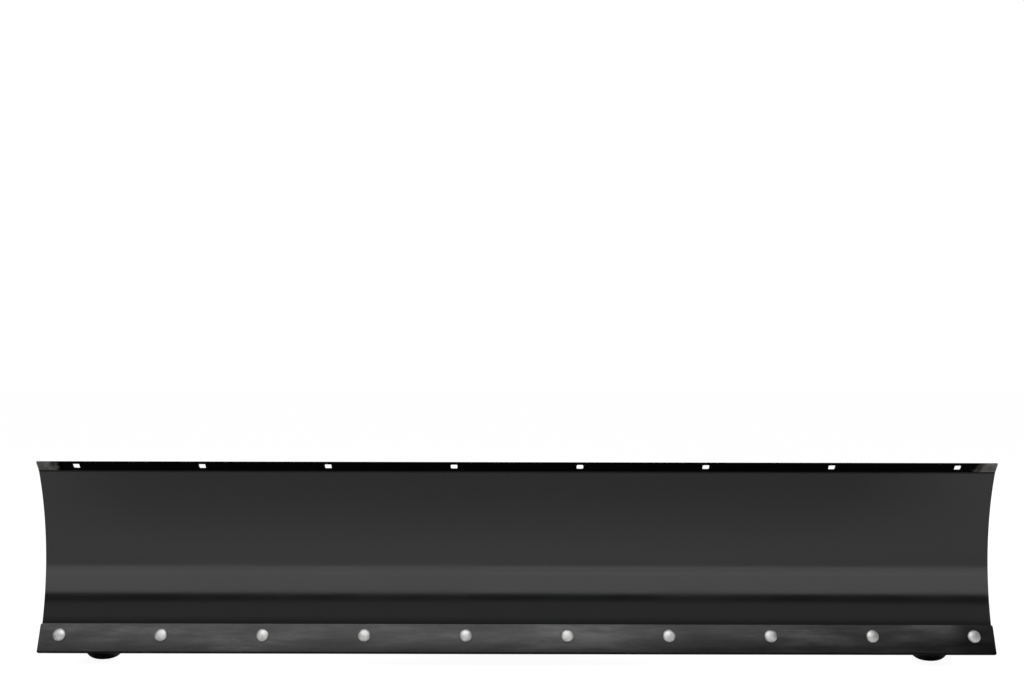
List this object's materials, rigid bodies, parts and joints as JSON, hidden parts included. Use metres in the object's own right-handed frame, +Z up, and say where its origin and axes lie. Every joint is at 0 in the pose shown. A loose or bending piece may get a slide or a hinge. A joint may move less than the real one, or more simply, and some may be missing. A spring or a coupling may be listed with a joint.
{
  "type": "plow blade",
  "caption": "Straight steel snow plow blade for an ATV or side-by-side, with bolted wear bar, skid shoes, spring trip hinge, angling swivel and push frame",
  "frame": {"origin": "middle of the footprint, on the floor", "axes": "X along the blade, blade faces -Y, vehicle side +Y, Z up"},
  "size_m": [1.829, 1.18, 0.391],
  "materials": {
    "powder_coat": "satin black powder coat",
    "wear_steel": "black paint worn thin over mill scale",
    "cast": "black painted casting",
    "zinc": "bright zinc plate"
  },
  "bodies": {
    "push_frame": {"push_tube_left": "powder_coat", "push_tube_right": "powder_coat", "front_cross_tube": "powder_coat", "rear_cross_tube": "powder_coat", "pivot_plate_top": "powder_coat", "pivot_plate_bottom": "powder_coat", "king_pin": "zinc", "king_pin_nut": "zinc", "drop_pin_guide": "powder_coat", "lift_bracket": "powder_coat", "rear_hook_left": "powder_coat", "rear_hook_right": "powder_coat"},
    "swivel": {"swivel_frame": "powder_coat", "sector_plate": "powder_coat", "trip_pin_left": "zinc", "trip_pin_right": "zinc", "trip_spring_left": "zinc", "trip_spring_right": "zinc"},
    "blade": {"moldboard": "powder_coat", "mid_rib_left": "powder_coat", "end_rib_left": "powder_coat", "inner_hinge_rib_left": "powder_coat", "outer_hinge_rib_left": "powder_coat", "mid_rib_right": "powder_coat", "end_rib_right": "powder_coat", "inner_hinge_rib_right": "powder_coat", "outer_hinge_rib_right": "powder_coat", "bottom_rail": "powder_coat", "top_rail": "powder_coat", "spring_anchor_left": "powder_coat", "spring_anchor_right": "powder_coat", "shoe_bracket_left": "powder_coat", "shoe_bracket_right": "powder_coat", "wear_bar": "wear_steel", "wear_bar_bolt_01": "zinc", "wear_bar_bolt_02": "zinc", "wear_bar_bolt_03": "zinc", "wear_bar_bolt_04": "zinc", "wear_bar_bolt_05": "zinc", "wear_bar_bolt_06": "zinc", "wear_bar_bolt_07": "zinc", "wear_bar_bolt_08": "zinc", "wear_bar_bolt_09": "zinc", "wear_bar_bolt_10": "zinc", "wear_bar_nut_01": "zinc", "wear_bar_nut_02": "zinc", "wear_bar_nut_03": "zinc", "wear_bar_nut_04": "zinc", "wear_bar_nut_05": "zinc", "wear_bar_nut_06": "zinc", "wear_bar_nut_07": "zinc", "wear_bar_nut_08": "zinc", "wear_bar_nut_09": "zinc", "wear_bar_nut_10": "zinc"},
    "drop_pin_body": {"drop_pin": "zinc"},
    "shackle_body": {"lift_shackle": "zinc"},
    "shoe_left": {"skid_shoe_left": "cast", "shoe_clip_pin_left": "zinc"},
    "shoe_right": {"skid_shoe_right": "cast", "shoe_clip_pin_right": "zinc"}
  },
  "joints": [
    {"name": "blade_angle", "type": "hinge", "parent": "push_frame", "child": "swivel", "pos_m": [0, -0.34, 0.1253], "axis": [0, 0, 1], "range_deg": [-30, 30]},
    {"name": "blade_trip", "type": "hinge", "parent": "swivel", "child": "blade", "pos_m": [0, -0.507, 0.1], "axis": [1, 0, 0], "range_deg": [0, 23], "stiffness_Nm_per_rad": 90, "springref_deg": -40.11},
    {"name": "shoe_left_height", "type": "slide", "parent": "blade", "child": "shoe_left", "axis": [0, 0, 1], "range_m": [-0.02, 0]},
    {"name": "shoe_right_height", "type": "slide", "parent": "blade", "child": "shoe_right", "axis": [0, 0, 1], "range_m": [-0.02, 0]},
    {"name": "drop_pin_slide", "type": "slide", "parent": "push_frame", "child": "drop_pin_body", "axis": [0, 0, -1], "range_m": [0, 0.026]},
    {"name": "shackle_swing", "type": "hinge", "parent": "push_frame", "child": "shackle_body", "pos_m": [0, -0.12, 0.215], "axis": [1, 0, 0], "range_deg": [0, 240]}
  ]
}
